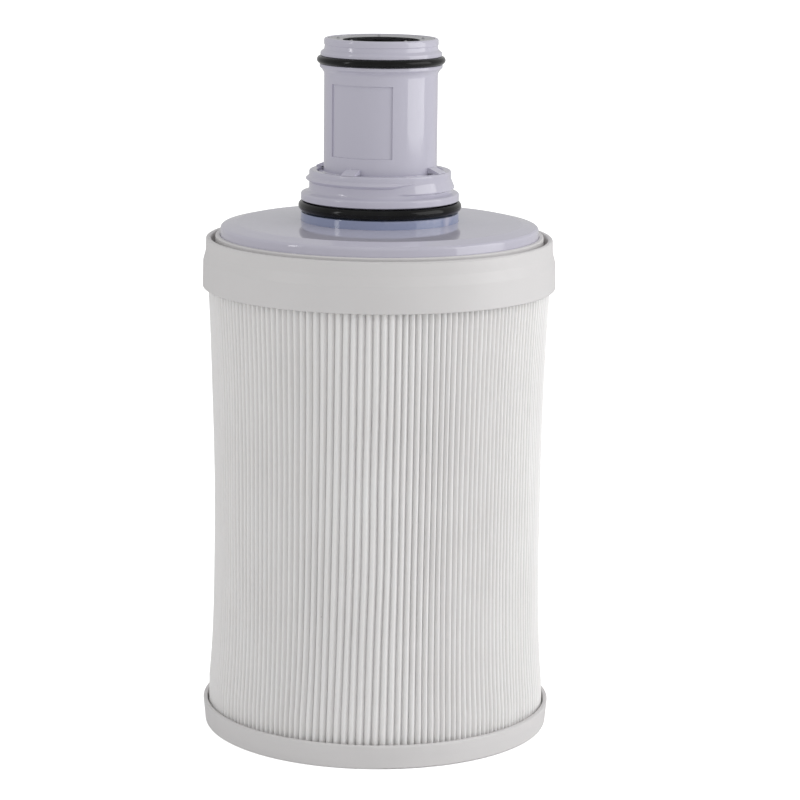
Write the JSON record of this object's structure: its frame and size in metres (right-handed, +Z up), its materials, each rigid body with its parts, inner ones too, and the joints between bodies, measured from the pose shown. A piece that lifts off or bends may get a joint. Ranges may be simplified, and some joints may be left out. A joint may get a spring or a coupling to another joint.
{
  "type": "pleated water filter cartridge",
  "caption": "Pleated water filter cartridge: fluted white sleeve between a shallow cap and a stepped band, with a glossy head disc, sealed spigot and open outlet neck.",
  "frame": {"origin": "centre of the face the cartridge stands on, under the bottom cap", "axes": "+Z up the cartridge's axis towards the open neck; -Y is the front, where the label pocket is; +X is to the right seen from the front"},
  "size_m": [0.1217, 0.1216, 0.24],
  "materials": {
    "white_plastic": "moulded, satin",
    "lavender_plastic": "moulded, semi-gloss",
    "mouth_plastic": "moulded, semi-gloss",
    "pleated_media": "nonwoven polyester, matt",
    "fleece": "nonwoven polyester, matt",
    "black_rubber": "smooth, lightly greased",
    "potting_resin": "cast, smooth",
    "carbon": "sintered, matt",
    "net_plastic": "extruded, satin"
  },
  "bodies": {
    "root": {"bottom_cap": "white_plastic", "top_band": "white_plastic", "pleated_prefilter": "pleated_media", "prefilter_cage": "net_plastic", "lower_pleat_potting": "potting_resin", "upper_pleat_potting": "potting_resin", "carbon_block": "carbon", "carbon_wrap": "fleece", "wrap_netting": "net_plastic", "block_end_plate": "white_plastic", "block_top_plate": "white_plastic", "lower_block_glue": "potting_resin", "upper_block_glue": "potting_resin", "core_tube": "net_plastic", "core_fleece": "fleece", "head_cap": "lavender_plastic", "threaded_collar": "lavender_plastic", "neck_tube": "lavender_plastic", "neck_mouth_ring": "mouth_plastic", "neck_mouth_seal": "black_rubber", "lower_o_ring": "black_rubber", "upper_o_ring": "black_rubber", "neck_seal_ring": "black_rubber", "core_seal_ring": "black_rubber"}
  },
  "joints": []
}
